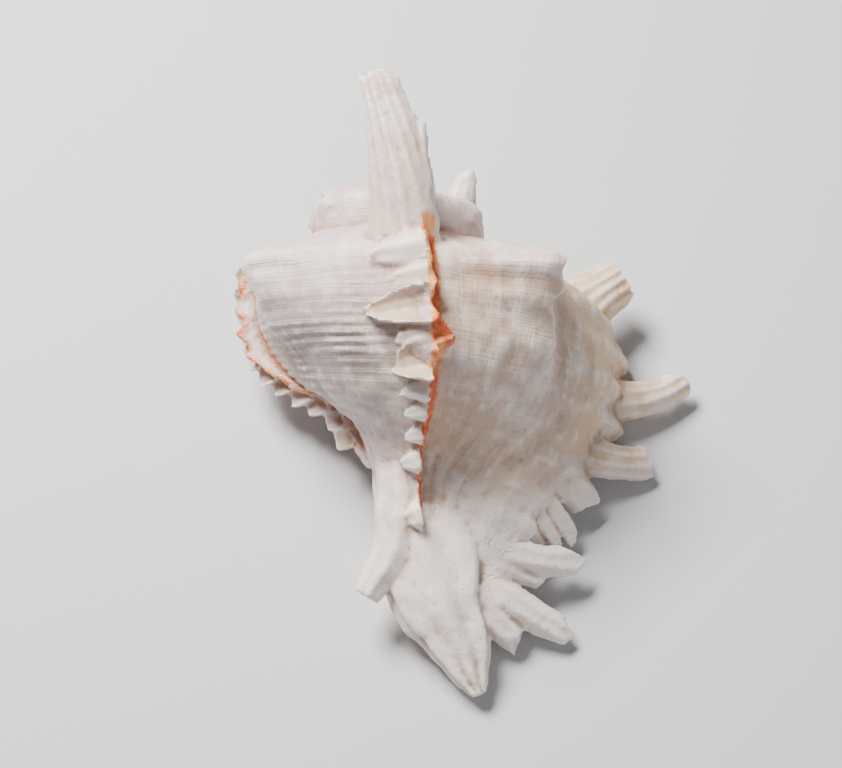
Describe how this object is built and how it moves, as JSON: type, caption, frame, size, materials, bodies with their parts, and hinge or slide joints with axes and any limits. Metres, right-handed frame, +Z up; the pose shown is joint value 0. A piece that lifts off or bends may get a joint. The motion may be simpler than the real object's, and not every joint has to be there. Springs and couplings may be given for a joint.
{
  "type": "murex shell",
  "caption": "Large murex sea shell lying mouth down, with frilled varices, long fronds on the outer lip, a tall shoulder frond and a bent siphonal canal.",
  "frame": {"origin": "centre of the shell's footprint, on the ground", "axes": "+Z up with the mouth down, +Y towards the spire, +X towards the outer lip"},
  "size_m": [0.1384, 0.1554, 0.0974],
  "materials": {
    "shell": "satin white to pinkish beige shell with orange lips along the varices"
  },
  "bodies": {
    "root": {"murex_shell": "shell"}
  },
  "joints": []
}
